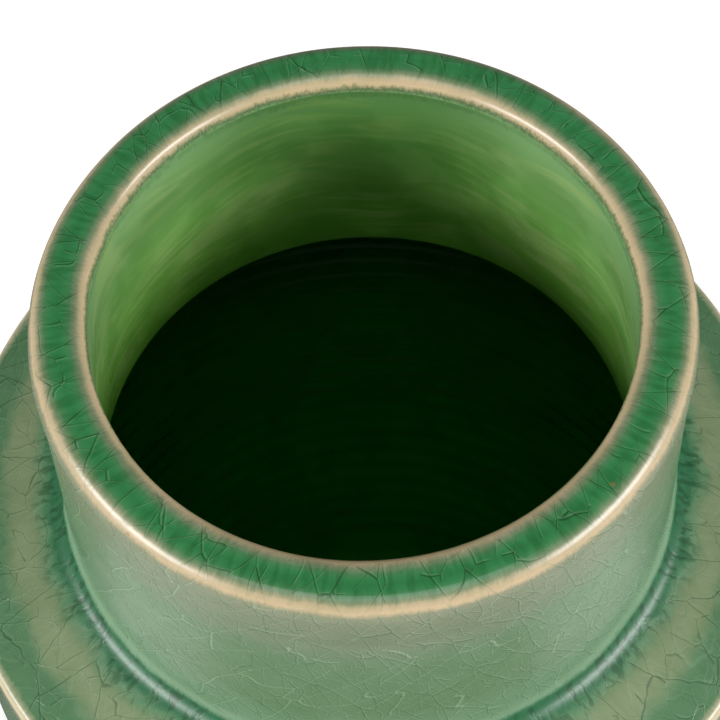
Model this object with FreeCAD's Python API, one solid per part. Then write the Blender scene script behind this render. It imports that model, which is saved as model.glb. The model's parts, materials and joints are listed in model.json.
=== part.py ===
"""Open ginger jar in crackle-glazed stoneware.

The jar is thrown in sections that are luted together with clay slip: a foot ring, a floor disc,
two wall sections, a shoulder ring, a neck collar and a thick lip ring. Every luted joint has a
rebate, so that each section sits inside the one below it. One coat of glaze covers the outside,
one the inside, and a thin one the recess under the foot.

Frame: millimetres, +Z up along the wheel axis, origin at the centre of the plane the foot
stands on. Every piece is a profile in the XZ plane, turned once about Z.
"""

import FreeCAD, Part

import math
import os

# Heights above the plane that the foot stands on.
JAR_HEIGHT = 250.0
NECK_HEIGHT = 60.0  # from the shoulder's inner edge up to the top of the lip
SHOULDER_DROP = 7.9  # the shoulder falls this far on its way out to its edge
BELLY_HEIGHT = 140.0
HIP_HEIGHT = 64.0
FOOT_HEIGHT = 9.0
RECESS_HEIGHT = 7.0  # the floor's underside, inside the foot ring
FLOOR_HEIGHT = 15.0  # the glazed floor inside the jar

# Glazed outside radii.
LIP_RADIUS = 60.0
NECK_BASE_RADIUS = 62.1
SHOULDER_RADIUS = 86.0
BELLY_RADIUS = 89.4
HIP_RADIUS = 82.0
WALL_END_RADIUS = 60.5
FOOT_OUTER_RADIUS = 58.5
FOOT_INNER_RADIUS = 51.0

# Glazed inside radii and wall thicknesses.
MOUTH_RADIUS = 49.2
THROAT_RADIUS = 54.3
SHOULDER_THICKNESS = 5.5
WALL_THICKNESS = 6.6
FLOOR_CORNER_RADIUS = 55.5

# Upright lands that a cap slides over and a stopper goes into, measured down from the lip.
COLLAR_LAND_DEPTH = 14.0
MOUTH_LAND_DEPTH = 12.0
COATS_MEET_DEPTH = 3.5  # the outer coat runs over the lip and this far down into the mouth

# Roundings of the profile's corners.
LIP_OUTER_ROUND = 4.5
LIP_INNER_ROUND = 3.0
LAND_ROUND = 30.0
NECK_COVE_ROUND = 3.0
SHOULDER_EDGE_ROUND = 2.2
BELLY_ROUND = 240.0
HIP_ROUND = 170.0
THROAT_ROUND = 7.0
INNER_SHOULDER_ROUND = 9.0
FLOOR_ROUND = 18.0
FOOT_BEVEL = 1.2

# Coats and joints.
GLAZE = 0.8
BASE_GLAZE = 0.5
SLIP = 0.6
REBATE = 3.0
FLOOR_REBATE_HEIGHT = 10.5
FLOOR_DISC_RADIUS = 45.0
FLOOR_FLANGE_RADIUS = 48.0
# The section under each rebated joint, the slip in the joint, and the joint's height.
JOINTS = [
    ("lower_wall", "waist_slip", 104.0),
    ("upper_wall", "shoulder_slip", 166.0),
    ("shoulder_ring", "neck_slip", 196.0),
    ("neck_collar", "lip_slip", 232.0),
]

NECK_BASE_HEIGHT = JAR_HEIGHT - NECK_HEIGHT
SHOULDER_HEIGHT = NECK_BASE_HEIGHT - SHOULDER_DROP
SHOULDER_SLOPE = SHOULDER_DROP / (SHOULDER_RADIUS - NECK_BASE_RADIUS)
COATS_MEET_HEIGHT = JAR_HEIGHT - COATS_MEET_DEPTH
FAR = 2 * JAR_HEIGHT  # reaches past the jar on every side
ORIGIN = FreeCAD.Vector(0, 0, 0)
AXIS = FreeCAD.Vector(0, 0, 1)


def point(radius, height):
    return FreeCAD.Vector(radius, 0, height)


def ceiling_height(radius):
    """The underside of the shoulder, parallel to its top."""
    drop = SHOULDER_THICKNESS * math.hypot(1, SHOULDER_SLOPE)
    return NECK_BASE_HEIGHT - drop - SHOULDER_SLOPE * (radius - NECK_BASE_RADIUS)


# Each corner is (radius, height, rounding). Both chains start in the mouth, where the coats meet.
OUTSIDE = [
    (MOUTH_RADIUS, COATS_MEET_HEIGHT, 0),
    (MOUTH_RADIUS, JAR_HEIGHT, LIP_INNER_ROUND),
    (LIP_RADIUS, JAR_HEIGHT, LIP_OUTER_ROUND),
    (LIP_RADIUS, JAR_HEIGHT - COLLAR_LAND_DEPTH, LAND_ROUND),
    (NECK_BASE_RADIUS, NECK_BASE_HEIGHT, NECK_COVE_ROUND),
    (SHOULDER_RADIUS, SHOULDER_HEIGHT, SHOULDER_EDGE_ROUND),
    (BELLY_RADIUS, BELLY_HEIGHT, BELLY_ROUND),
    (HIP_RADIUS, HIP_HEIGHT, HIP_ROUND),
    (WALL_END_RADIUS, FOOT_HEIGHT, 0),
]
INNER_SHOULDER_RADIUS = SHOULDER_RADIUS - WALL_THICKNESS
INSIDE = [
    (MOUTH_RADIUS, COATS_MEET_HEIGHT, 0),
    (MOUTH_RADIUS, JAR_HEIGHT - MOUTH_LAND_DEPTH, LAND_ROUND),
    (THROAT_RADIUS, ceiling_height(THROAT_RADIUS), THROAT_ROUND),
    (INNER_SHOULDER_RADIUS, ceiling_height(INNER_SHOULDER_RADIUS), INNER_SHOULDER_ROUND),
    (BELLY_RADIUS - WALL_THICKNESS, BELLY_HEIGHT, BELLY_ROUND - WALL_THICKNESS),
    (HIP_RADIUS - WALL_THICKNESS, HIP_HEIGHT, HIP_ROUND - WALL_THICKNESS),
    (FLOOR_CORNER_RADIUS, FLOOR_HEIGHT, FLOOR_ROUND),
    (0, FLOOR_HEIGHT, 0),
]


def crossing(start, along, other, other_along):
    """Where two lines in the XZ plane cross."""
    turn = along.x * other_along.z - along.z * other_along.x
    gap = other - start
    return start + along * ((gap.x * other_along.z - gap.z * other_along.x) / turn)


def shifted(corners, depth):
    """The chain moved sideways by depth, to the right of its direction, as (point, rounding)."""
    points = [point(radius, height) for radius, height, _ in corners]
    runs = [(b - a).normalize() for a, b in zip(points, points[1:])]
    sides = [FreeCAD.Vector(run.z, 0, -run.x) * depth for run in runs]
    moved = [(points[0] + sides[0], 0)]
    for i in range(1, len(points) - 1):
        before, after = runs[i - 1], runs[i]
        spot = crossing(points[i] + sides[i - 1], before, points[i] + sides[i], after)
        turns_right = before.x * after.z - before.z * after.x < 0
        rounding = corners[i][2] - depth if turns_right else corners[i][2] + depth
        moved.append((spot, rounding))
    moved.append((points[-1] + sides[-1], 0))
    return moved


def chain(corners, depth=0.0):
    """Lines and tangent arcs along the corners, with the chain's two ends."""
    spots = shifted(corners, depth)
    edges = []
    here = spots[0][0]
    for i in range(1, len(spots) - 1):
        spot, rounding = spots[i]
        back = (spots[i - 1][0] - spot).normalize()
        ahead = (spots[i + 1][0] - spot).normalize()
        half = math.acos(back.dot(ahead)) / 2
        reach = rounding / math.tan(half)
        middle = (back + ahead).normalize()
        begin, end = spot + back * reach, spot + ahead * reach
        crown = spot + middle * (rounding / math.sin(half) - rounding)
        edges.append(Part.LineSegment(here, begin).toShape())
        edges.append(Part.Arc(begin, crown, end).toShape())
        here = end
    edges.append(Part.LineSegment(here, spots[-1][0]).toShape())
    return edges, spots[0][0], spots[-1][0]


def straight(*spots):
    return [Part.LineSegment(a, b).toShape() for a, b in zip(spots, spots[1:])]


def face(*groups):
    """A flat face inside the closed loop that the groups of edges make."""
    edges = [edge for group in groups for edge in group]
    return Part.Face(Part.Wire(Part.__sortEdges__(edges)))


def polygon(*spots):
    return face(straight(*spots, spots[0]))


def turned(profile):
    """The solid that one closed profile sweeps in a full turn of the wheel."""
    (outline,) = profile.Faces
    return outline.revolve(ORIGIN, AXIS, 360)


def clay_profile():
    """The whole bare pot, with its foot ring and the recess inside that ring."""
    outside, _, wall_end = chain(OUTSIDE, GLAZE)
    inside, _, floor_middle = chain(INSIDE, -GLAZE)
    foot = straight(
        wall_end,
        point(FOOT_OUTER_RADIUS, FOOT_HEIGHT),
        point(FOOT_OUTER_RADIUS, FOOT_BEVEL),
        point(FOOT_OUTER_RADIUS - FOOT_BEVEL, 0),
        point(FOOT_INNER_RADIUS + FOOT_BEVEL, 0),
        point(FOOT_INNER_RADIUS, FOOT_BEVEL),
        point(FOOT_INNER_RADIUS, RECESS_HEIGHT),
        point(0, RECESS_HEIGHT),
        floor_middle,
    )
    return face(outside, inside, foot)


def coat_profile(corners, depth):
    """A coat of glaze between a glazed chain and the clay under it."""
    glazed, start, end = chain(corners)
    bare, bare_start, bare_end = chain(corners, depth)
    return face(glazed, bare, straight(start, bare_start), straight(end, bare_end))


def base_coat_profile():
    """The thin coat on the floor's underside, inside the foot ring."""
    return polygon(
        point(0, RECESS_HEIGHT - BASE_GLAZE),
        point(FOOT_INNER_RADIUS, RECESS_HEIGHT - BASE_GLAZE),
        point(FOOT_INNER_RADIUS, RECESS_HEIGHT),
        point(0, RECESS_HEIGHT),
    )


def in_foot(grow=0.0):
    """The foot ring's own space, whose outer half stands up to the wall's end."""
    middle = (FOOT_OUTER_RADIUS + FOOT_INNER_RADIUS) / 2 - grow
    return polygon(
        point(FOOT_INNER_RADIUS, 0),
        point(FAR, 0),
        point(FAR, FOOT_HEIGHT + grow),
        point(middle, FOOT_HEIGHT + grow),
        point(middle, RECESS_HEIGHT + grow),
        point(FOOT_INNER_RADIUS, RECESS_HEIGHT + grow),
    )


def in_floor(grow=0.0):
    """The floor disc's own space, whose lower flange reaches out under the wall."""
    rim, flange = FLOOR_DISC_RADIUS + grow, FLOOR_FLANGE_RADIUS + grow
    return polygon(
        point(0, 0),
        point(flange, 0),
        point(flange, FLOOR_REBATE_HEIGHT + grow),
        point(rim, FLOOR_REBATE_HEIGHT + grow),
        point(rim, FAR),
        point(0, FAR),
    )


def below(height, middle, grow=0.0):
    """Everything under a rebated joint, whose inner half stands the higher."""
    low, high = height + grow, height + grow + REBATE
    return polygon(
        point(0, 0),
        point(FAR, 0),
        point(FAR, low),
        point(middle + grow, low),
        point(middle + grow, high),
        point(0, high),
    )


def wall_middle(clay, height):
    """The radius halfway through the outermost wall at one height."""
    level = Part.LineSegment(point(0, height), point(FAR, height)).toShape()
    wall = max(clay.common(level).Edges, key=lambda span: span.CenterOfMass.x)
    return wall.CenterOfMass.x


def clay_profiles():
    """The luted sections and the slip in their joints, from the foot upwards."""
    clay = clay_profile()
    profiles = {
        "foot_ring": clay.common(in_foot()),
        "foot_slip": clay.common(in_foot(SLIP)).cut(in_foot()),
        "floor_disc": clay.common(in_floor()),
    }
    rest = clay.cut(in_foot(SLIP))
    profiles["floor_slip"] = rest.common(in_floor(SLIP)).cut(in_floor())
    rest = rest.cut(in_floor(SLIP))
    for section, slip, height in JOINTS:
        middle = wall_middle(clay, height)
        profiles[section] = rest.common(below(height, middle))
        grown = below(height, middle, SLIP)
        profiles[slip] = rest.common(grown).cut(below(height, middle))
        rest = rest.cut(grown)
    profiles["lip_ring"] = rest
    return profiles


def main():
    os.makedirs("parts", exist_ok=True)
    profiles = clay_profiles()
    profiles["outer_glaze"] = coat_profile(OUTSIDE, GLAZE)
    profiles["inner_glaze"] = coat_profile(INSIDE, -GLAZE)
    profiles["base_glaze"] = base_coat_profile()
    for name, profile in profiles.items():
        turned(profile).exportStep(f"parts/{name}.step")


main()
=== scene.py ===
"""Looks of the open ginger jar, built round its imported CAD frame.

Metres and +Z up, as in the frame. Profiles and reliefs are written in millimetres, and turned
into metres where their meshes are made. The glaze coats and the foot ring are shells of
revolution with real relief: an uneven thrown wall, glaze pooled at the foot of the neck and
rolled up above the foot. Crackle, brushing and colour are procedural.
"""

import json
import math

import bpy
import numpy as np
from mathutils import Matrix, Vector


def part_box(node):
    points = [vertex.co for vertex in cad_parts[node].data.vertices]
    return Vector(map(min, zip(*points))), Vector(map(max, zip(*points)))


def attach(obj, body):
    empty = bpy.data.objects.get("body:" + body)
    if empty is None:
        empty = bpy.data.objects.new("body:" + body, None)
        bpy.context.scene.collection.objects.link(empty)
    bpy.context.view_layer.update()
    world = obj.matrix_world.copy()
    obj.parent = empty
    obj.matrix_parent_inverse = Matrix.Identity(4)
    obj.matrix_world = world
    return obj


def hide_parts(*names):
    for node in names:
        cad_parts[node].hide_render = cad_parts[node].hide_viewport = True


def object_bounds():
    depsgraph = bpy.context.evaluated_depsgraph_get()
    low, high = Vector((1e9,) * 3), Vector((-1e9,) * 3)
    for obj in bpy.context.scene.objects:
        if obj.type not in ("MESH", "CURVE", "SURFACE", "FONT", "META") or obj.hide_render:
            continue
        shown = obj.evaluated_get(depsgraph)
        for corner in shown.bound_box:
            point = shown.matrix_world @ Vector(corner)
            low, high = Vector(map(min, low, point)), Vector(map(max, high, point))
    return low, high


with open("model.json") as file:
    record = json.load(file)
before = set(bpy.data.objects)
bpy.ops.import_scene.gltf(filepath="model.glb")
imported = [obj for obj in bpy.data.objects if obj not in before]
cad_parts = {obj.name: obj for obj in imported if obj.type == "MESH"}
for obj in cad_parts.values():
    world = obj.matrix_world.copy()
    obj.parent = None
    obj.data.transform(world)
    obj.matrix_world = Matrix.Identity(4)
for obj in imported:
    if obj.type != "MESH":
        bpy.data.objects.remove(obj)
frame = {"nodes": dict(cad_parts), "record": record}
CAD_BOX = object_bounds()
MOUNTS = {mount["name"]: mount for mount in frame["record"]["mounts"]}

MM = 0.001
TURN = 2 * math.pi
GLAZE = 0.8  # how thick the outer and inner coats are

# Places that the frame gives, in millimetres.
JAR_HEIGHT = CAD_BOX[1][2] / MM
LIP_RADIUS = MOUNTS["collar_land"]["dims"]["r_mm"]
BORE = MOUNTS["mouth_bore"]
MOUTH_RADIUS = BORE["dims"]["r_mm"]
COATS_MEET_HEIGHT = BORE["pos_m"][2] / MM + BORE["dims"]["length_mm"] / 2
FOOT_OUTER_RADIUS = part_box("foot_ring")[1].x / MM
FOOT_INNER_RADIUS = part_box("base_glaze")[1].x / MM
FOOT_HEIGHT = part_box("foot_ring")[1].z / MM
RECESS_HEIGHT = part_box("base_glaze")[1].z / MM
BASE_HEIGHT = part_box("base_glaze")[0].z / MM
FLOOR_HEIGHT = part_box("inner_glaze")[0].z / MM + GLAZE

# The rest of the glazed shape, in millimetres.
NECK_FOOT = (62.1, JAR_HEIGHT - 60.0)
SHOULDER_EDGE = (86.0, NECK_FOOT[1] - 7.9)
BELLY = (89.4, 140.0)
HIP = (82.0, 64.0)
WALL_END = (60.5, FOOT_HEIGHT)
WALL = 6.6
CEILING_START, CEILING_END = (54.3, 186.8), (79.4, 178.5)
FLOOR_CORNER_RADIUS = 55.5
POOL_ROUND = 6.0  # the glaze pooled at the foot of the neck fills the corner of the clay
THROAT_ROUND = 5.5  # where the neck opens into the body

# Corners of each profile: (radius, height, rounding).
OUTSIDE = [
    (MOUTH_RADIUS, COATS_MEET_HEIGHT, 0),
    (MOUTH_RADIUS, JAR_HEIGHT, 3.0),
    (LIP_RADIUS, JAR_HEIGHT, 4.5),
    (LIP_RADIUS, JAR_HEIGHT - 14.0, 30.0),
    (*NECK_FOOT, POOL_ROUND),
    (*SHOULDER_EDGE, 2.2),
    (*BELLY, 240.0),
    (*HIP, 170.0),
    (*WALL_END, 0),
]
INSIDE = [
    (MOUTH_RADIUS, COATS_MEET_HEIGHT, 0),
    (MOUTH_RADIUS, JAR_HEIGHT - 12.0, 30.0),
    (*CEILING_START, THROAT_ROUND),
    (*CEILING_END, 9.0),
    (BELLY[0] - WALL, BELLY[1], 233.4),
    (HIP[0] - WALL, HIP[1], 163.4),
    (FLOOR_CORNER_RADIUS, FLOOR_HEIGHT, 18.0),
    (0, FLOOR_HEIGHT, 0),
]

FINE, COARSE = 0.42, 1.2  # spacing of a skin's rows on the neck and shoulder, and on the body
FINE_BEYOND = 6.0  # how far past the shoulder's edge, or past the throat, the rows stay close
BACK_STEP = 6  # the plain side of a coat keeps one row in this many
OUTSIDE_COLUMNS, INSIDE_COLUMNS, BASE_COLUMNS, FOOT_COLUMNS = 900, 540, 240, 540
BASE_ROWS, FOOT_ROWS = 110, 90
ARC_POINTS = 60
EDGE, THROAT = 4, 1  # the arc of OUTSIDE at the shoulder's edge, and the arc of INSIDE at the throat


# ---------------------------------------------------------------- profiles and shells


def unit(vector):
    """The vector at length 1."""
    return vector / np.linalg.norm(vector)


def rounded(corners):
    """The chain with tangent arcs at its corners: points, distance run, and run at each arc."""
    spots = [np.array(corner[:2], float) for corner in corners]
    line, marks = [spots[0]], []
    for before, spot, after, corner in zip(spots, spots[1:], spots[2:], corners[1:]):
        back, ahead = unit(before - spot), unit(after - spot)
        half = math.acos(back @ ahead) / 2
        reach = corner[2] / math.tan(half)
        centre = spot + unit(back + ahead) * corner[2] / math.sin(half)
        begin, end = spot + back * reach - centre, spot + ahead * reach - centre
        turn = math.pi - 2 * half
        marks.append(len(line) + ARC_POINTS // 2)
        for share in np.linspace(0, 1, ARC_POINTS):
            sweep = begin * math.sin((1 - share) * turn) + end * math.sin(share * turn)
            line.append(centre + sweep / math.sin(turn))
    line = np.array([*line, spots[-1]])
    run = np.concatenate([[0], np.cumsum(np.linalg.norm(np.diff(line, axis=0), axis=1))])
    return line, run, run[marks]


def sampled(line, run, rows):
    """The points of the line at the runs in rows."""
    return np.column_stack([np.interp(rows, run, line[:, side]) for side in (0, 1)])


def rows_along(line, run, fine_end):
    """Rows set close as far as fine_end and wider after it: their points, and their runs."""
    close = np.arange(0, fine_end, FINE)
    wide = np.linspace(fine_end, run[-1], math.ceil((run[-1] - fine_end) / COARSE) + 1)
    rows = np.concatenate([close, wide])
    return sampled(line, run, rows), rows


def rightward(points):
    """Vectors of length 1 to the right of the points' direction."""
    along = np.gradient(points, axis=0)
    along /= np.linalg.norm(along, axis=1, keepdims=True)
    return np.column_stack([along[:, 1], -along[:, 0]])


def patches(seed, around, length, rows, columns):
    """Smooth random values from -1 to 1 that close round the jar.

    There are that many patches around it, and one every length of millimetres along the rows."""
    down = rows / length
    table = np.random.default_rng(seed).uniform(-1, 1, (int(down.max()) + 2, around))
    across = np.arange(columns) * around / columns
    i, j = down.astype(int), across.astype(int)
    u, v = down - i, across - j
    u, v = (u * u * (3 - 2 * u))[:, None], v * v * (3 - 2 * v)
    near, far = table[i], table[i + 1]
    right = (j + 1) % around
    return (near[:, j] * (1 - v) + near[:, right] * v) * (1 - u) + (
        far[:, j] * (1 - v) + far[:, right] * v
    ) * u


def step(value, low, high):
    """Goes smoothly from 0 at low to 1 at high."""
    share = np.clip((value - low) / (high - low), 0, 1)
    return share * share * (3 - 2 * share)


def hump(value, middle, width):
    """A bell curve: 1 at the middle, and almost 0 two widths away."""
    return np.exp(-(((value - middle) / width) ** 2))


def shell(name, skin, back, shift, run):
    """A closed shell of revolution: a skin with its relief, and the plain side behind it.

    skin and back are radius and height in mm, and together make one closed loop. shift moves
    the skin outwards, row by row and column by column, and run is kept on the points as the
    attribute that colour and crackle follow."""
    columns = shift.shape[1]
    loop = np.vstack([skin, back])
    following = np.roll(loop, -1, axis=0)
    area = np.sum(loop[:, 0] * following[:, 1] - following[:, 0] * loop[:, 1])
    outward = rightward(skin) * np.sign(area)
    grid = np.repeat(loop[:, None, :], columns, axis=1)
    grid[: len(skin)] += shift[:, :, None] * outward[:, None, :]
    grid[loop[:, 0] == 0, :, 0] = 0
    angle = np.arange(columns) * TURN / columns
    spots = np.stack(
        [grid[..., 0] * np.cos(angle), grid[..., 0] * np.sin(angle), grid[..., 1]], axis=-1
    )
    index = np.arange(loop.shape[0] * columns).reshape(-1, columns)
    poles = loop[:, 0] == 0
    index[poles] = index[poles][:, :1]
    used, index = np.unique(index, return_inverse=True)
    index = index.reshape(-1, columns)
    below = np.roll(index, -1, axis=0)
    faces = np.stack([index, np.roll(index, -1, 1), np.roll(below, -1, 1), below], axis=-1)
    faces = faces.reshape(-1, 4)
    if area < 0:
        faces = faces[:, ::-1]
    corners = [list(dict.fromkeys(face)) for face in faces.tolist()]
    mesh = bpy.data.meshes.new(name)
    mesh.from_pydata(
        (spots.reshape(-1, 3)[used] * MM).tolist(), [], [c for c in corners if len(c) > 2]
    )
    mesh.validate()
    mesh.shade_smooth()
    sharpen(mesh, index, [0, len(skin) - 1, *range(len(skin), len(loop))])
    tail = np.repeat(run[-1:], len(back), axis=0)
    values = np.vstack([run, tail]).reshape(-1)[used]
    mesh.attributes.new("run", "FLOAT", "POINT").data.foreach_set("value", values)
    piece = bpy.data.objects.new(name, mesh)
    bpy.context.scene.collection.objects.link(piece)
    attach(piece, "root")
    return piece


def sharpen(mesh, index, rows):
    """Marks the rings of edges along some rows as sharp."""
    row_of = np.zeros(len(mesh.vertices), int) - 1
    for row in rows:
        row_of[index[row]] = row
    ends = np.zeros(len(mesh.edges) * 2, int)
    mesh.edges.foreach_get("vertices", ends)
    first, second = row_of[ends.reshape(-1, 2)].T
    sharp = (first == second) & (first >= 0)
    mesh.attributes.new("sharp_edge", "BOOLEAN", "EDGE").data.foreach_set("value", sharp)


# ---------------------------------------------------------------- pieces


def coat(name, corners, clay_side, columns, fine_mark, relief, node):
    """One glaze coat: its glazed skin with relief, and its plain side on the clay.

    clay_side is 1 or -1, and fine_mark is the last arc that needs close rows."""
    line, run, marks = rounded(corners)
    points, rows = rows_along(line, run, marks[fine_mark] + FINE_BEYOND)
    shift, flow = relief(rows, marks, columns)
    back = (points + clay_side * GLAZE * rightward(points))[::-BACK_STEP]
    piece = shell(name, points, back, shift, flow)
    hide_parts(node)
    return piece, run[-1], marks


def outside_relief(rows, marks, columns):
    """Thrown unevenness, the pool at the foot of the neck, and the roll above the foot."""
    lip_inner, lip_outer, _, neck_foot, edge = marks[:5]
    run = rows[:, None]
    end = rows[-1]
    ragged = (
        0.5 * patches(3, 64, 7.0, rows, columns)
        + 0.35 * patches(4, 150, 2.6, rows, columns)
        + 0.25 * patches(5, 290, 1.3, rows, columns)
    )
    below_neck = step(run, neck_foot + 1.0, neck_foot + 3.0)
    on_body = step(run, edge + 4.0, edge + 14.0)
    flow = run + ragged * (0.35 + 1.5 * below_neck * (1 - step(run, edge - 5.0, edge - 1.0)))
    pooled = 1 - step(flow, neck_foot + 3.4, neck_foot + 6.4)
    near_edge = step(run, edge - 6.0, edge - 1.0)
    rings = np.sin(run * TURN / 5.2 + 1.6 * patches(6, 7, 25.0, rows, columns))
    shift = 0.12 * patches(1, 5, 45.0, rows, columns) + 0.05 * patches(2, 17, 12.0, rows, columns)
    shift -= 0.16 + 0.10 * (1 - pooled) * (1 - near_edge) * below_neck
    shift -= 0.10 * hump(run, (lip_inner + lip_outer) / 2, 1.8)
    shift += 0.05 * rings * on_body + 0.02 * rings * below_neck
    shift += 0.75 * hump(flow, end - 3.2, 1.9) - 0.35 * step(flow, end - 1.4, end)
    return shift * step(run, 0.0, 2.0), flow


def inside_relief(rows, marks, columns):
    """A smooth brushed neck, and the rings that throwing left on the wall of the body."""
    throat = marks[THROAT]
    run = rows[:, None]
    fade = 1 - step(run, rows[-1] - 30.0, rows[-1])
    rings = np.sin(run * TURN / 6.4 + 2.0 * patches(16, 6, 30.0, rows, columns))
    shift = 0.10 * patches(11, 5, 45.0, rows, columns) + 0.03 * patches(12, 22, 9.0, rows, columns)
    shift = (shift - 0.15) * fade + 0.16 * rings * step(run, throat + 4.0, throat + 12.0) * fade
    flow = run + 0.5 * patches(13, 40, 6.0, rows, columns) * fade
    return shift * step(run, 0.0, 2.0), flow


def base_coat():
    """The thin glaze in the recess under the foot, with the marks of the trimming tool."""
    rows = np.linspace(0, FOOT_INNER_RADIUS, BASE_ROWS)
    skin = np.column_stack([FOOT_INNER_RADIUS - rows, np.full(len(rows), BASE_HEIGHT)])
    back = np.array([(0, RECESS_HEIGHT), (FOOT_INNER_RADIUS, RECESS_HEIGHT)])
    run = rows[:, None]
    wander = patches(21, 5, 20.0, rows, BASE_COLUMNS)
    shift = 0.05 * np.sin(run * TURN / 2.6 + wander) - 0.08
    shift = shift * step(run, 0, 2.0) * (1 - step(run, rows[-1] - 3.0, rows[-1]))
    piece = shell("base_glaze_coat", skin, back, shift, run + 0 * shift)
    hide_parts("base_glaze")
    return piece


def foot_ring():
    """The bare foot ring, turned with a tool and worn round at its edges."""
    middle = (FOOT_OUTER_RADIUS + FOOT_INNER_RADIUS) / 2
    line, run, _ = rounded([
        (FOOT_INNER_RADIUS, RECESS_HEIGHT, 0),
        (FOOT_INNER_RADIUS, 0, 1.1),
        (FOOT_OUTER_RADIUS, 0, 1.1),
        (FOOT_OUTER_RADIUS, FOOT_HEIGHT, 0),
    ])
    rows = np.linspace(0, run[-1], FOOT_ROWS)
    skin = sampled(line, run, rows)
    back = np.array([(middle, FOOT_HEIGHT), (middle, RECESS_HEIGHT)])
    run = rows[:, None]
    shift = 0.05 * patches(31, 70, 1.1, rows, FOOT_COLUMNS)
    shift += 0.05 * patches(32, 9, 8.0, rows, FOOT_COLUMNS)
    shift += 0.04 * np.sin(run * TURN / 1.3) - 0.12
    shift *= step(run, 0, 1.0) * (1 - step(run, rows[-1] - 1.0, rows[-1]))
    piece = shell("bare_foot_ring", skin, back, shift, run + 0 * shift)
    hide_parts("foot_ring")
    return piece


# ---------------------------------------------------------------- materials


def srgb(red, green, blue):
    """A colour given as 0 to 255, as the linear colour that a node takes."""
    shares = [channel / 255 for channel in (red, green, blue)]
    return (*[((c + 0.055) / 1.055) ** 2.4 if c > 0.04 else c / 12.92 for c in shares], 1.0)


def grey(level):
    """A ramp's colour that stands for one number."""
    return (level, level, level, 1.0)


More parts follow.
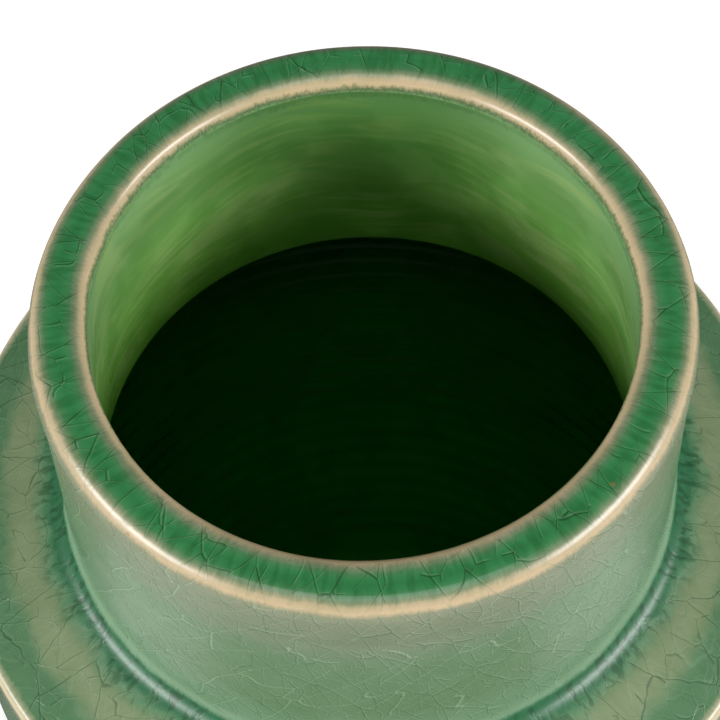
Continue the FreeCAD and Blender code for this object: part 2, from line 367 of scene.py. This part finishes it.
class Surface:
    """A material under construction: short calls that add nodes and link them."""

    def __init__(self, name, gloss):
        self.material = bpy.data.materials.new(name)
        self.material.use_nodes = True
        self.tree = self.material.node_tree
        self.shader = self.tree.nodes["Principled BSDF"]
        self.shader.inputs["Roughness"].default_value = gloss

    def add(self, kind, sockets=(), **settings):
        node = self.tree.nodes.new(kind)
        for key, value in settings.items():
            setattr(node, key, value)
        for key, value in dict(sockets).items():
            self.put(node.inputs[key], value)
        return node

    def put(self, socket, value):
        if isinstance(value, bpy.types.NodeSocket):
            self.tree.links.new(value, socket)
        else:
            socket.default_value = value

    def math(self, operation, *values):
        return self.add("ShaderNodeMath", enumerate(values), operation=operation).outputs[0]

    def vector(self, operation, *values):
        node = self.add("ShaderNodeVectorMath", enumerate(values), operation=operation)
        return node.outputs[0]

    def scaled(self, vector, factor):
        sockets = {0: vector, "Scale": factor}
        return self.add("ShaderNodeVectorMath", sockets, operation="SCALE").outputs[0]

    def place(self):
        """The point on the piece, in millimetres."""
        return self.scaled(self.add("ShaderNodeTexCoord").outputs["Object"], 1 / MM)

    def backward(self, place):
        """How far back on the jar the point is, in millimetres: below 0 in front of the axis."""
        return self.add("ShaderNodeSeparateXYZ", {0: place}).outputs["Y"]

    def run(self):
        """The distance down the skin that shell() kept on its points, in millimetres."""
        return self.add("ShaderNodeAttribute", attribute_name="run").outputs["Fac"]

    def unrolled(self, radius, stretch):
        """The point moved out to one radius, with its run for a height: 1/stretch shrinks it."""
        level = self.vector("MULTIPLY", self.place(), (1, 1, 0))
        around = self.scaled(self.vector("NORMALIZE", level), radius)
        height = self.math("MULTIPLY", self.run(), 1 / stretch)
        return self.vector("ADD", around, self.add("ShaderNodeCombineXYZ", {2: height}).outputs[0])

    def flattened(self, stretch, lean, seam):
        """The skin laid flat: distance round it at the lip's radius, and run over stretch.

        lean shears it, in millimetres sideways for each millimetre of run. seam is the angle of
        its cut, and the second result is 0 on the cut and 1 away from it."""
        turned = self.add(
            "ShaderNodeVectorRotate", {"Vector": self.place(), "Angle": -seam},
            rotation_type="Z_AXIS",
        ).outputs[0]
        x, y = self.add("ShaderNodeSeparateXYZ", {0: turned}).outputs[:2]
        angle = self.math("ARCTAN2", y, self.math("MULTIPLY", x, -1.0))
        sideways = self.math("MULTIPLY", self.run(), lean)
        around = self.math("MULTIPLY_ADD", angle, LIP_RADIUS, sideways)
        down = self.math("MULTIPLY", self.run(), 1 / stretch)
        spot = self.add("ShaderNodeCombineXYZ", {0: around, 1: down}).outputs[0]
        away = self.ease(self.math("ABSOLUTE", angle), math.pi - 0.01, math.pi - 0.06)
        return spot, away

    def noise(self, place, size, detail=2.0, rough=0.5):
        """Smooth noise round 0.5, in lumps of about that size."""
        node = self.add(
            "ShaderNodeTexNoise",
            {"Vector": place, "Scale": 1 / size, "Detail": detail, "Roughness": rough},
        )
        return node.outputs["Fac"]

    def bend(self, place, size, amount):
        """The place pushed about by smooth noise, by up to about that amount."""
        node = self.add("ShaderNodeTexNoise", {"Vector": place, "Scale": 1 / size, "Detail": 0.0})
        push = self.vector("SUBTRACT", node.outputs["Color"], (0.5, 0.5, 0.5))
        return self.vector("ADD", place, self.scaled(push, 2 * amount))

    def ease(self, value, low, high, start=0.0, end=1.0):
        """Goes smoothly from start to end as the value goes from low to high."""
        sockets = {"Value": value, 1: low, 2: high, 3: start, 4: end}
        return self.add(
            "ShaderNodeMapRange", sockets, interpolation_type="SMOOTHSTEP"
        ).outputs[0]

    def mix(self, share, first, second, blend="MIX"):
        """The first colour, with that share of the second in it."""
        node = self.add("ShaderNodeMix", data_type="RGBA", blend_type=blend)
        for socket, value in zip([node.inputs[0], *node.inputs[6:8]], (share, first, second)):
            self.put(socket, value)
        return node.outputs[2]

    def shades(self, share, stops, full=1.0):
        """A colour that changes along the stops, which are (value, colour) with value to full."""
        node = self.add("ShaderNodeValToRGB", {0: self.math("DIVIDE", share, full)})
        ramp = node.color_ramp
        while len(ramp.elements) < len(stops):
            ramp.elements.new(0.5)
        for element, (value, colour) in zip(ramp.elements, stops):
            element.position = value / full
            element.color = colour
        return node.outputs[0]

    def hairlines(self, place, size, width, curl, kept, flat=False):
        """Lines between irregular cells of that size: 1 on a line and 0 off it.

        curl bends them, as a share of the size. About the kept share of every line is left, so
        that the lines break off and hook."""
        cells = self.add(
            "ShaderNodeTexVoronoi",
            {"Vector": self.bend(place, size * 1.2, size * curl), "Scale": 1 / size},
            feature="DISTANCE_TO_EDGE",
            voronoi_dimensions="2D" if flat else "3D",
        )
        line = self.ease(cells.outputs["Distance"], 0.0, width / size, 1.0, 0.0)
        keep = self.ease(self.noise(place, size * 1.1), 0.56 - 0.25 * kept, 0.62 - 0.25 * kept)
        return self.math("MULTIPLY", line, keep)

    def cracked(self, colour, laid, shape, where, dark, pale):
        """The colour with flat crackle of that hairlines shape, and how much line there is.

        laid is what flattened gives. Each line is dark, partly its own crack colour and partly
        painted shade, with a pale band along one side of it, offset the same way everywhere, that is
        a painted highlight. where is how much of it shows, from 0 to 1."""
        spot, away = laid
        where = self.math("MULTIPLY", where, away)
        width = shape[1]
        # Painted highlight and painted shade: the line is drawn dark, and a pale copy beside it, as
        # if lit from one side.
        highlight_side = self.vector("ADD", spot, (1.4 * width, 1.0 * width, 0.0))
        line, painted_highlight = (
            self.math("MULTIPLY", self.hairlines(at, *shape, flat=True), where)
            for at in (spot, highlight_side)
        )
        colour = self.mix(self.math("MULTIPLY", painted_highlight, pale), colour, GLINT)
        return self.tint(self.math("MULTIPLY", line, dark), colour, CRACK), line

    def tint(self, share, colour, tone):
        """The colour multiplied by the tone, in that share."""
        return self.mix(share, colour, tone, "MULTIPLY")

    def flecks(self, place, size, radius):
        """Rare small spots: 1 in a spot and 0 outside it."""
        spots = self.add("ShaderNodeTexVoronoi", {"Vector": place, "Scale": 1 / size})
        return self.ease(spots.outputs["Distance"], radius / size, 0.0)

    def relief(self, *layers):
        """Bump from (depth in millimetres, height from 0 to 1) layers added together."""
        total = 0.0
        for depth, height in layers:
            total = self.math("MULTIPLY_ADD", height, depth, total)
        bump = self.add("ShaderNodeBump", {"Height": total, "Distance": MM})
        self.put(self.shader.inputs["Normal"], bump.outputs[0])

    def finish(self, colour, roughness=None):
        self.put(self.shader.inputs["Base Color"], colour)
        if roughness is not None:
            self.put(self.shader.inputs["Roughness"], roughness)
        return self.material


EMERALD = srgb(52, 124, 72)
DEEP = srgb(46, 114, 66)
POOL = srgb(36, 98, 62)
CREAM = srgb(196, 172, 138)
RIM = srgb(200, 184, 154)
TAN = srgb(124, 130, 104)
SAGE = srgb(96, 124, 92)
OLIVE = srgb(122, 137, 103)
CELADON = srgb(80, 118, 82)
CRACK = srgb(90, 140, 100)
# GLINT is the pale colour of the painted highlight drawn beside each crack.
GLINT = srgb(164, 188, 156)


# Sets of crackle lines: stretch, lean and seam of the skin laid flat; size, width, curl and kept
# share of the lines; where they lie; how dark each line is, partly painted shade, and how pale the
# painted highlight beside it is.
CRACK_DEPTH = 0.02
CRACKLE = [
    (2.4, 0.25, 1.2, (7.5, 0.16, 0.2, 0.7), "pools", 0.75, 0.12),
    (1.5, -0.6, 1.5, (5.0, 0.15, 0.3, 0.5), "pools", 0.65, 0.15),
    (2.6, 0.4, 1.8, (6.0, 0.17, 0.38, 0.75), "wall", 0.45, 0.2),
    (2.2, -0.85, 2.1, (8.0, 0.16, 0.45, 0.8), "wall", 0.2, 0.4),
    (1.3, 0.0, 1.0, (3.4, 0.14, 0.45, 0.6), "wall", 0.4, 0.25),
    (1.1, 0.3, 2.3, (2.3, 0.12, 0.35, 0.4), "wall", 0.35, 0.25),
]


def outer_bands(surface, run, place, end, marks):
    """The colours down the outer glaze: cream over its edges and emerald where it pools.

    A fine fringe and a slow drift move the bands, and in the mouth they ebb toward the back."""
    lip_inner, lip_outer, _, foot, edge = marks[:5]
    fringe = surface.noise(surface.unrolled(LIP_RADIUS, stretch=3.0), size=0.45, detail=3.0)
    drift = surface.ease(surface.noise(place, size=40.0, detail=1.0), 0.3, 0.7, -0.4, 0.4)
    frayed = surface.math("ADD", run, surface.ease(fringe, 0.25, 0.75, -0.2, 0.2))
    frayed = surface.math("ADD", frayed, drift)
    ebb = surface.ease(surface.backward(place), -MOUTH_RADIUS, MOUTH_RADIUS, -0.25, 0.45)
    in_mouth = surface.ease(run, lip_outer - 4.0, lip_inner + 2.0)
    frayed = surface.math("ADD", frayed, surface.math("MULTIPLY", ebb, in_mouth))
    colour = surface.shades(frayed, [
        (0.0, srgb(124, 166, 110)),
        (lip_inner - 2.2, srgb(92, 128, 78)),
        (lip_inner - 1.6, TAN),
        (lip_inner - 0.8, CREAM),
        (lip_inner, CREAM),
        (lip_inner + 1.1, srgb(132, 138, 108)),
        (lip_inner + 2.1, CELADON),
        (lip_inner + 3.0, EMERALD),
        (lip_inner + 4.4, DEEP),
        (lip_outer - 3.0, EMERALD),
        (lip_outer - 2.0, CELADON),
        (lip_outer - 1.0, srgb(140, 142, 114)),
        (lip_outer - 0.1, CREAM),
        (lip_outer + 0.6, CREAM),
        # Below the lip: tan from thinner glaze, and partly a painted reflection of the room, fading
        # down the neck.
        (lip_outer + 1.8, TAN),
        (lip_outer + 12.0, srgb(112, 124, 98)),
        (lip_outer + 22.0, SAGE),
        (foot - 16.0, SAGE),
        # Painted reflection: the neck is lighter just above its foot, where it mirrors the bright
        # pool and shoulder below.
        (foot - 7.0, srgb(112, 142, 110)),
        (foot - 2.0, srgb(126, 154, 124)),
        (foot - 1.2, srgb(104, 142, 110)),
        (foot - 0.6, POOL),
        (foot + 2.6, POOL),
        (foot + 4.4, srgb(80, 124, 88)),
        (foot + 7.5, OLIVE),
        (foot + 12.0, OLIVE),
        (edge - 9.0, CELADON),
        (edge - 2.4, CELADON),
        (edge - 0.4, RIM),
        (edge + 1.0, RIM),
        (edge + 3.5, TAN),
    ], end)
    colour = surface.mix(surface.ease(run, edge + 3.5, edge + 9.0), colour, SAGE)
    return surface.mix(surface.ease(run, end - 30.0, end), colour, DEEP)


def crackle_grounds(surface, run, end, marks):
    """How much crackle shows down the outer glaze, from 0 to 1: on its pools, and on its walls."""
    lip_inner, lip_outer, _, foot, edge = marks[:5]
    on_pools = surface.shades(run, [
        (lip_inner, grey(0.0)), (lip_inner + 2.6, grey(1.0)), (lip_outer - 2.6, grey(1.0)),
        (lip_outer, grey(0.2)), (lip_outer + 1.0, grey(0.0)), (foot + 1.0, grey(0.0)),
        (foot + 6.0, grey(0.7)), (edge - 9.0, grey(0.8)), (edge - 3.0, grey(0.8)),
        (edge, grey(0.0)), (edge + 8.0, grey(0.7)), (end, grey(0.8)),
    ], end)
    on_wall = surface.shades(run, [
        (lip_outer, grey(0.0)), (lip_outer + 2.5, grey(1.0)), (foot - 4.0, grey(1.0)),
        (foot - 1.0, grey(0.1)), (foot + 8.0, grey(0.28)), (edge - 2.0, grey(0.28)),
        (edge, grey(0.1)), (edge + 5.0, grey(0.25)), (end, grey(0.25)),
    ], end)
    return on_pools, on_wall


def cove_wrinkles(surface, run, foot):
    """Wrinkles in the pool at the foot of the neck: 1 on a wrinkle and 0 off it."""
    wrinkles = surface.noise(surface.unrolled(LIP_RADIUS, stretch=2.8), size=1.3, detail=2.0)
    in_cove = surface.math(
        "MULTIPLY", surface.ease(run, foot - 1.0, foot), surface.ease(run, foot + 8.0, foot + 4.5)
    )
    return surface.math("MULTIPLY", surface.ease(wrinkles, 0.5, 0.62), in_cove)


def torn_line(surface, run, lip_inner):
    """The ragged line under the cream band in the mouth: 1 on the line and 0 off it."""
    ticks = surface.noise(surface.unrolled(MOUTH_RADIUS, stretch=4.0), size=0.7, detail=3.0)
    torn = surface.math("ADD", run, surface.ease(ticks, 0.3, 0.7, -0.9, 0.9))
    return surface.math(
        "MULTIPLY", surface.ease(torn, 0.3, 0.9),
        surface.ease(torn, lip_inner - 1.3, lip_inner - 2.1),
    )


def pool_veins(surface, run, lip_outer, on_pools):
    """Darker veins down the pools, strongest on the lip."""
    veins = surface.noise(surface.unrolled(LIP_RADIUS, stretch=4.0), size=1.6, detail=3.0)
    veins = surface.math("MULTIPLY", surface.ease(veins, 0.42, 0.66, 0.0, 0.45), on_pools)
    on_lip = surface.ease(run, lip_outer + 2.0, lip_outer - 1.0, 0.35, 1.0)
    return surface.math("MULTIPLY", veins, on_lip)


def outer_roughness(surface, run, end, marks):
    """Glossiest on top of the lip, and dullest at the foot of the neck."""
    lip_inner, lip_outer, _, foot, edge = marks[:5]
    return surface.shades(run, [
        (lip_inner - 1.0, grey(0.3)), (lip_inner + 2.5, grey(0.14)), (lip_outer - 2.5, grey(0.14)),
        (lip_outer - 1.0, grey(0.3)), (lip_outer + 4.0, grey(0.22)), (foot - 2.0, grey(0.2)),
        (foot, grey(0.36)), (foot + 8.0, grey(0.3)), (edge - 3.0, grey(0.26)),
        (edge, grey(0.3)), (edge + 6.0, grey(0.2)), (end, grey(0.16)),
    ], end)


def outer_glaze(end, marks):
    """Crackled green: thin and cream over edges, thick and emerald where it pools."""
    lip_inner, lip_outer, _, foot, _ = marks[:5]
    surface = Surface("crackled_green_glaze", 0.12)
    run, place = surface.run(), surface.place()
    colour = outer_bands(surface, run, place, end, marks)
    on_pools, on_wall = crackle_grounds(surface, run, end, marks)
    cracks = []
    for stretch, lean, seam, shape, where, dark, pale in CRACKLE:
        ground = on_pools if where == "pools" else on_wall
        laid = surface.flattened(stretch, lean, seam)
        colour, line = surface.cracked(colour, laid, shape, ground, dark, pale)
        cracks.append((CRACK_DEPTH, line))
    wrinkles = cove_wrinkles(surface, run, foot)
    colour = surface.tint(surface.math("MULTIPLY", wrinkles, 0.5), colour, CRACK)
    torn = torn_line(surface, run, lip_inner)
    colour = surface.tint(surface.math("MULTIPLY", torn, 0.55), colour, srgb(120, 168, 112))
    veins = pool_veins(surface, run, lip_outer, on_pools)
    colour = surface.tint(veins, colour, srgb(150, 186, 152))
    mottle = surface.ease(surface.noise(place, size=9.0), 0.3, 0.7, 0.0, 0.3)
    colour = surface.tint(mottle, colour, srgb(205, 222, 200))
    stretched = surface.vector("MULTIPLY", place, (0.7, 1.0, 1.0))
    iron = surface.flecks(stretched, size=16.0, radius=0.6)
    colour = surface.mix(surface.math("MULTIPLY", iron, 0.55), colour, srgb(140, 100, 62))
    layered = surface.vector("MULTIPLY", place, (0.2, 0.2, 1.5))
    surface.relief(
        (0.02, surface.noise(place, size=6.0, detail=0.0)),
        (0.006, surface.noise(layered, size=1.0, detail=2.0)),
        (-0.02, wrinkles),
        *cracks,
    )
    return surface.finish(colour, outer_roughness(surface, run, end, marks))


INNER_RAMP = 320.0  # run at which the inner glaze's colours stop changing


def inner_bands(surface, run, throat):
    """The colours down the inner glaze: brushed green in the neck, and dark past the throat."""
    return surface.shades(run, [
        (0.0, srgb(126, 168, 114)),
        (6.0, srgb(122, 164, 102)),
        (20.0, srgb(118, 168, 90)),
        (40.0, srgb(110, 164, 70)),
        (throat - 1.0, srgb(102, 160, 54)),
        (throat + 1.5, srgb(18, 84, 10)),
        (throat + 9.0, srgb(13, 110, 9)),
        (INNER_RAMP, srgb(11, 104, 8)),
    ], INNER_RAMP)


def brush_strokes(surface, place, swirl):
    """The pale strokes of the brush, from 0 to 1, and the fine hairs that roughen the glaze."""
    drawn = surface.vector("MULTIPLY", swirl, (0.11, 0.11, 0.9))
    hairs = surface.noise(drawn, size=2.4, detail=3.0, rough=0.55)
    broad = surface.vector("MULTIPLY", swirl, (0.2, 0.2, 0.9))
    broad = surface.noise(broad, size=6.0, detail=2.0)
    wiped = surface.ease(surface.noise(place, size=20.0, detail=1.0), 0.34, 0.58, 0.2, 0.9)
    strokes = surface.math(
        "MAXIMUM", surface.ease(hairs, 0.46, 0.64), surface.ease(broad, 0.54, 0.66)
    )
    return surface.math("MULTIPLY", strokes, wiped), hairs


def gathered_edge(surface, run):
    """The ragged line of thicker glaze where the inner coat begins."""
    ticks = surface.noise(surface.unrolled(MOUTH_RADIUS, stretch=3.0), size=0.8, detail=3.0)
    ragged = surface.math("ADD", run, surface.ease(ticks, 0.3, 0.7, -1.0, 1.0))
    return surface.ease(ragged, 0.6, 1.8, 0.2, 0.0)


def inner_glaze(throat):
    """Brushed green in the neck with painted shade at its back, and dark past the throat, in the
    body.
    """
    surface = Surface("brushed_green_glaze", 0.22)
    run, place = surface.run(), surface.place()
    swirl = surface.bend(place, size=30.0, amount=8.0)
    strokes, hairs = brush_strokes(surface, place, swirl)
    share = surface.math("MULTIPLY", strokes, surface.ease(run, throat - 12.0, throat, 0.62, 0.0))
    colour = surface.mix(share, inner_bands(surface, run, throat), srgb(152, 180, 112))
    shade = surface.ease(surface.noise(swirl, size=14.0, detail=3.0), 0.38, 0.58, 0.3, 0.0)
    shade = surface.math("MULTIPLY", shade, surface.ease(run, 2.0, 12.0))
    colour = surface.tint(shade, colour, srgb(140, 186, 122))
    gathered = gathered_edge(surface, run)
    colour = surface.tint(gathered, colour, srgb(140, 182, 130))
    # Painted shade: the upper wall at the back of the mouth, where the side lights reach least, is
    # darkened.
    at_back = surface.ease(surface.backward(place), 0.72 * MOUTH_RADIUS, MOUTH_RADIUS)
    painted_back_shade = surface.math("MULTIPLY", at_back, surface.ease(run, 34.0, 18.0))
    colour = surface.tint(painted_back_shade, colour, srgb(180, 200, 174))
    surface.relief((0.02, hairs), (0.03, gathered))
    return surface.finish(colour)


def base_glaze():
    """The thin coat in the foot's recess, darker where it gathers against the ring."""
    surface = Surface("thin_base_glaze", 0.18)
    run, place = surface.run(), surface.place()
    colour = surface.shades(run, [
        (0.0, EMERALD), (3.0, CELADON), (9.0, SAGE), (FOOT_INNER_RADIUS, OLIVE),
    ], FOOT_INNER_RADIUS)
    lines = surface.hairlines(place, size=4.6, width=0.14, curl=0.3, kept=0.7)
    colour = surface.tint(lines, colour, CRACK)
    speck = surface.ease(surface.noise(place, 1.6, 3.0), 0.64, 0.7)
    colour = surface.mix(speck, colour, srgb(120, 92, 60))
    surface.relief((0.05, surface.noise(place, 3.0)), (-0.04, lines))
    return surface.finish(colour)


def clay(name, body, toasted, rough):
    """Bare fired clay: mottled, speckled with iron and grainy."""
    surface = Surface(name, rough)
    place = surface.place()
    colour = surface.mix(surface.ease(surface.noise(place, 11.0, 3.0), 0.35, 0.65), body, toasted)
    iron = surface.ease(surface.noise(place, 0.9, 2.0), 0.66, 0.72)
    colour = surface.mix(iron, colour, srgb(84, 58, 38))
    grain = surface.noise(place, 0.5, 4.0, 0.7)
    colour = surface.tint(surface.ease(grain, 0.3, 0.7, 0.3, 0.0), colour, srgb(170, 160, 146))
    surface.relief((0.06, grain))
    return surface.finish(colour)


# ---------------------------------------------------------------- studio


# The floor's profile, as radius and height in metres, and how many sides it has.
SWEEP = [(0.0, 0.0), (0.5, 0.0), (1.5, 0.0), (3.0, 0.0), (3.5, 0.1), (3.85, 0.45), (4.0, 1.1)]
SWEEP_SIDES = 96


def sweep():
    """A plain white floor that curves up far behind the jar on every side."""
    angles = [TURN * i / SWEEP_SIDES for i in range(SWEEP_SIDES)]
    spots = [
        (radius * math.cos(angle), radius * math.sin(angle), height)
        for radius, height in SWEEP for angle in angles
    ]
    sides = [(i, (i + 1) % SWEEP_SIDES) for i in range(SWEEP_SIDES)]
    starts = range(0, len(spots) - SWEEP_SIDES, SWEEP_SIDES)
    faces = [
        (row + i, row + j, row + SWEEP_SIDES + j, row + SWEEP_SIDES + i)
        for row in starts for i, j in sides
    ]
    mesh = bpy.data.meshes.new("studio_sweep")
    mesh.from_pydata(spots, [], faces)
    mesh.shade_smooth()
    surface = Surface("white_sweep", 0.9)
    surface.shader.inputs["Specular IOR Level"].default_value = 0.1
    surface.shader.inputs["Emission Color"].default_value = (1, 1, 1, 1)
    surface.shader.inputs["Emission Strength"].default_value = 0.36
    mesh.materials.append(surface.finish(grey(0.8)))
    piece = bpy.data.objects.new("studio_sweep", mesh)
    piece.visible_glossy = False
    bpy.context.scene.collection.objects.link(piece)


def softbox(name, place, width, height, power):
    """A rectangular soft light aimed at the middle of the jar's mouth."""
    light = bpy.data.lights.new(name, "AREA")
    light.shape = "RECTANGLE"
    light.size, light.size_y = width, height
    light.energy = power
    lamp = bpy.data.objects.new(name, light)
    lamp.location = Vector(place)
    toward = Vector((0, 0, JAR_HEIGHT * MM)) - lamp.location
    lamp.rotation_euler = toward.to_track_quat("-Z", "Y").to_euler()
    lamp.visible_camera = False
    bpy.context.scene.collection.objects.link(lamp)


def room():
    """Dim overhead and behind, and pale below in front, as the glaze mirrors it."""
    dim, pale = 0.12, 0.7
    world = bpy.data.worlds.new("room")
    world.use_nodes = True
    tree = world.node_tree
    way = tree.nodes.new("ShaderNodeTexCoord")
    parts = tree.nodes.new("ShaderNodeSeparateXYZ")
    tree.links.new(way.outputs["Generated"], parts.inputs[0])
    front, low = (tree.nodes.new("ShaderNodeMapRange") for _ in range(2))
    for node, axis, start, end in ((front, "Y", 0.2, -0.3), (low, "Z", 0.0, -0.2)):
        tree.links.new(parts.outputs[axis], node.inputs["Value"])
        node.inputs["From Min"].default_value, node.inputs["From Max"].default_value = start, end
    both = tree.nodes.new("ShaderNodeMath")
    both.operation = "MULTIPLY"
    strength = tree.nodes.new("ShaderNodeMapRange")
    strength.inputs["To Min"].default_value, strength.inputs["To Max"].default_value = dim, pale
    tree.links.new(front.outputs[0], both.inputs[0])
    tree.links.new(low.outputs[0], both.inputs[1])
    tree.links.new(both.outputs[0], strength.inputs["Value"])
    tree.links.new(strength.outputs[0], tree.nodes["Background"].inputs["Strength"])
    tree.nodes["Background"].inputs["Color"].default_value = (1, 1, 1, 1)
    bpy.context.scene.world = world


def studio():
    """A softbox at each side, a weaker panel overhead, and the room round them."""
    softbox("left_softbox", (-0.94, -0.40, 0.66), width=0.7, height=0.27, power=12.4)
    softbox("right_softbox", (0.93, -0.40, 0.70), width=0.7, height=0.27, power=12.4)
    softbox("overhead_panel", (0.0, -0.30, 1.15), width=0.7, height=0.5, power=2.0)
    room()
    bpy.context.scene.view_settings.view_transform = "Standard"


def camera():
    """A camera above and in front of the jar, 328 mm from the lip, turned a little clockwise."""
    elevation, tilt = math.radians(59.67), math.radians(-2.59)
    right, lift, distance = 0.35, 10.78, 328.3  # of the lip's centre from the camera, in mm
    data = bpy.data.cameras.new("camera")
    data.sensor_width, data.lens = 36.0, 92.8
    turned = Matrix.Rotation(math.pi / 2 - elevation, 3, "X") @ Matrix.Rotation(tilt, 3, "Z")
    offset = turned @ Vector((right, lift, -distance))
    place = Vector((0, 0, JAR_HEIGHT)) - offset
    piece = bpy.data.objects.new("camera", data)
    piece.matrix_world = Matrix.Translation(place * MM) @ turned.to_4x4()
    bpy.context.scene.collection.objects.link(piece)
    bpy.context.scene.camera = piece


# ---------------------------------------------------------------- the whole


def main():
    """Builds the pieces and gives each its material, then sets the studio round them."""
    outside, end, marks = coat(
        "outer_glaze_coat", OUTSIDE, 1, OUTSIDE_COLUMNS, EDGE, outside_relief, "outer_glaze"
    )
    outside.data.materials.append(outer_glaze(end, marks))
    inside, _, inner_marks = coat(
        "inner_glaze_coat", INSIDE, -1, INSIDE_COLUMNS, THROAT, inside_relief, "inner_glaze"
    )
    inside.data.materials.append(inner_glaze(inner_marks[THROAT]))
    base = base_coat()
    base.data.materials.append(base_glaze())
    stoneware = clay("bare_stoneware", srgb(196, 170, 134), srgb(176, 138, 98), 0.8)
    slip = clay("clay_slip", srgb(208, 188, 156), srgb(188, 160, 124), 0.7)
    ring = foot_ring()
    ring.data.materials.append(stoneware)
    for name, node in frame["nodes"].items():
        node.data.materials.clear()
        node.data.materials.append(slip if name.endswith("_slip") else stoneware)
    sweep()
    studio()
    camera()


main()
